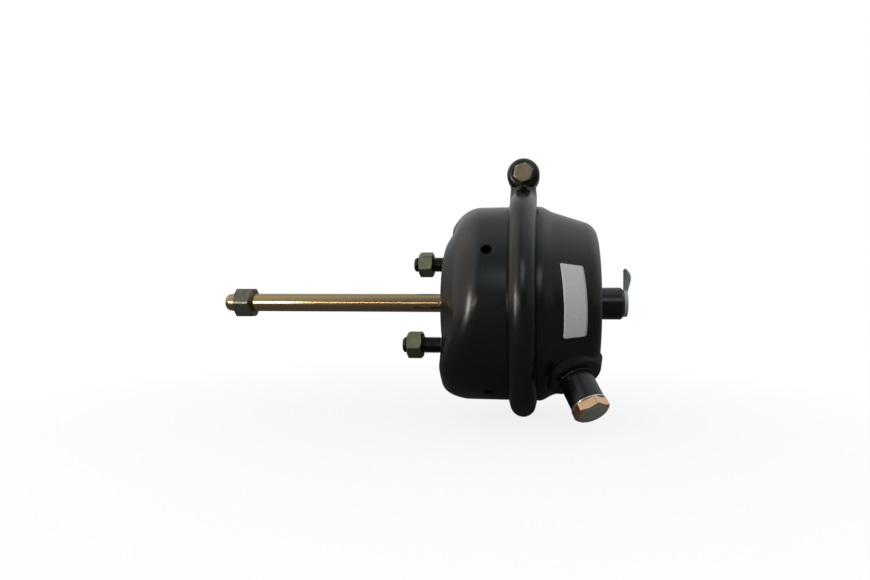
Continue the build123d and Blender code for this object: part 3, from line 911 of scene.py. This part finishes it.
def make_spring():
    """Conical wire spring with its first and last turns closed."""
    low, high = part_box("return_spring")
    wire, small, columns = SPRING_WIRE, SPRING_SMALL_RADIUS, SPRING_COLUMNS
    start_x, end_x, large = low.x + wire, high.x - wire, high.z - wire
    total = int(SPRING_TURNS * SPRING_STEPS)
    vertices = []
    for step in range(total + 1):
        share = step / total
        turn = 2 * math.pi * SPRING_TURNS * share
        rise = min(1.0, max(0.0, (share - SPRING_CLOSED) / (1 - 2 * SPRING_CLOSED)))
        x = start_x + (end_x - start_x) * rise
        radius = small + (large - small) * rise
        centre = Vector((x, radius * math.cos(turn), radius * math.sin(turn)))
        out = Vector((0, math.cos(turn), math.sin(turn)))
        for column in range(columns):
            angle = 2 * math.pi * column / columns
            vertices.append(tuple(centre + out * wire * math.cos(angle)
                                  + Vector((1, 0, 0)) * wire * math.sin(angle)))
    faces = grid_faces(total + 1, columns) + end_faces(total + 1, columns)
    return piece("coil_spring", vertices, faces, LOOKS["spring_steel"], "chamber")


spring = make_spring()
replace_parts(spring, "return_spring")
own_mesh(spring)


# Stage, light and camera

def light_path(tree, output):
    return tree.nodes.new("ShaderNodeLightPath").outputs[output]


def floor():
    """Pale floor that keeps a soft shadow and fades into the white surroundings."""
    size, low = FLOOR_SIZE, cad_box[0].z - FLOOR_GAP
    mesh = bpy.data.meshes.new("floor")
    mesh.from_pydata([(-size, -size, low), (size, -size, low), (size, size, low), (-size, size, low)], [],
                     [(0, 1, 2, 3)])
    obj = link("floor", mesh)
    material, tree, shader = new_tree("floor")
    seen = light_path(tree, "Is Camera Ray")
    tree.links.new(mix(tree, seen, FLOOR_GREY, FLOOR_PALE), shader.inputs["Base Color"])
    shader.inputs["Roughness"].default_value = 0.9
    shader.inputs["Specular IOR Level"].default_value = 0.0
    glow = tree.nodes.new("ShaderNodeEmission")
    glow.inputs["Color"].default_value = (1, 1, 1, 1)
    glow.inputs["Strength"].default_value = 1.0
    distance = tree.nodes.new("ShaderNodeVectorMath")
    distance.operation = "LENGTH"
    tree.links.new(position(tree), distance.inputs[0])
    fade = span(tree, distance.outputs["Value"], FLOOR_GLOW_NEAR, 1.0, *FLOOR_FADE)
    share = tree.nodes.new("ShaderNodeMath")
    share.operation = "MULTIPLY"
    tree.links.new(seen, share.inputs[0])
    tree.links.new(fade, share.inputs[1])
    blend = tree.nodes.new("ShaderNodeMixShader")
    tree.links.new(share.outputs[0], blend.inputs["Fac"])
    tree.links.new(shader.outputs["BSDF"], blend.inputs[1])
    tree.links.new(glow.outputs["Emission"], blend.inputs[2])
    tree.links.new(blend.outputs["Shader"], tree.nodes["Material Output"].inputs["Surface"])
    mesh.materials.append(material)


def world():
    """Soft studio surroundings, and white where the camera looks past the object."""
    scene_world = bpy.data.worlds.new("studio")
    bpy.context.scene.world = scene_world
    scene_world.use_nodes = True
    tree = scene_world.node_tree
    light = tree.nodes["Background"]
    light.inputs["Strength"].default_value = 1.0
    direction = tree.nodes.new("ShaderNodeTexCoord").outputs["Generated"]
    total = (WORLD_FLOOR, WORLD_FLOOR, WORLD_FLOOR)
    for aim, start, end, strength, colour in WORLD_LOBES:
        facing = tree.nodes.new("ShaderNodeVectorMath")
        facing.operation = "DOT_PRODUCT"
        facing.inputs[1].default_value = Vector(aim).normalized()
        tree.links.new(direction, facing.inputs[0])
        lobe = span(tree, facing.outputs["Value"], 0.0, 1.0, start, end)
        lobe.node.interpolation_type = "SMOOTHERSTEP"
        total = mix(tree, lobe, total, tuple(strength * part for part in colour), "ADD")
    tree.links.new(total, light.inputs["Color"])
    seen = tree.nodes.new("ShaderNodeBackground")
    seen.inputs["Color"].default_value = (1, 1, 1, 1)
    seen.inputs["Strength"].default_value = 1.0
    clear = tree.nodes.new("ShaderNodeMath")
    clear.operation = "MAXIMUM"
    tree.links.new(light_path(tree, "Is Camera Ray"), clear.inputs[0])
    tree.links.new(light_path(tree, "Is Transmission Ray"), clear.inputs[1])
    blend = tree.nodes.new("ShaderNodeMixShader")
    tree.links.new(clear.outputs[0], blend.inputs["Fac"])
    tree.links.new(light.outputs["Background"], blend.inputs[1])
    tree.links.new(seen.outputs["Background"], blend.inputs[2])
    tree.links.new(blend.outputs["Shader"], tree.nodes["World Output"].inputs["Surface"])


def lamp(name, place, size, radiance, colour, aim=LAMP_AIM):
    """Soft box that sheds this much light from each point of its face."""
    data = bpy.data.lights.new(name, "AREA")
    data.shape = "RECTANGLE"
    data.size, data.size_y = size
    data.energy = radiance * math.pi * size[0] * size[1]
    data.color = colour
    obj = link(name, data)
    obj.location = place
    obj.rotation_mode = "QUATERNION"
    obj.rotation_quaternion = (Vector(aim) - Vector(place)).to_track_quat("-Z", "Y")


def camera():
    data = bpy.data.cameras.new("camera")
    data.sensor_width = CAMERA_SENSOR
    data.lens = CAMERA_LENS
    data.clip_start = CAMERA_CLIP
    obj = link("camera", data)
    obj.location = CAMERA_PLACE
    yaw = math.radians(CAMERA_YAW)
    forward = Vector((-math.sin(yaw), math.cos(yaw), 0))
    obj.rotation_mode = "QUATERNION"
    obj.rotation_quaternion = forward.to_track_quat("-Z", "Y")
    bpy.context.scene.camera = obj


floor()
world()
camera()
lamp("key", (-0.36, -0.48, 0.03), (0.11, 0.18), 13.5, (1.0, 0.94, 0.88))
lamp("low_strip", (-0.205, -0.62, 0.035), (0.25, 0.025), 11, (1.0, 0.93, 0.84), (-0.205, 0, 0))
lamp("front_panel", (0.25, -0.95, 0.55), (0.5, 0.35), 1.6, (0.96, 0.98, 1.0))

bpy.context.scene.view_settings.view_transform = "Standard"
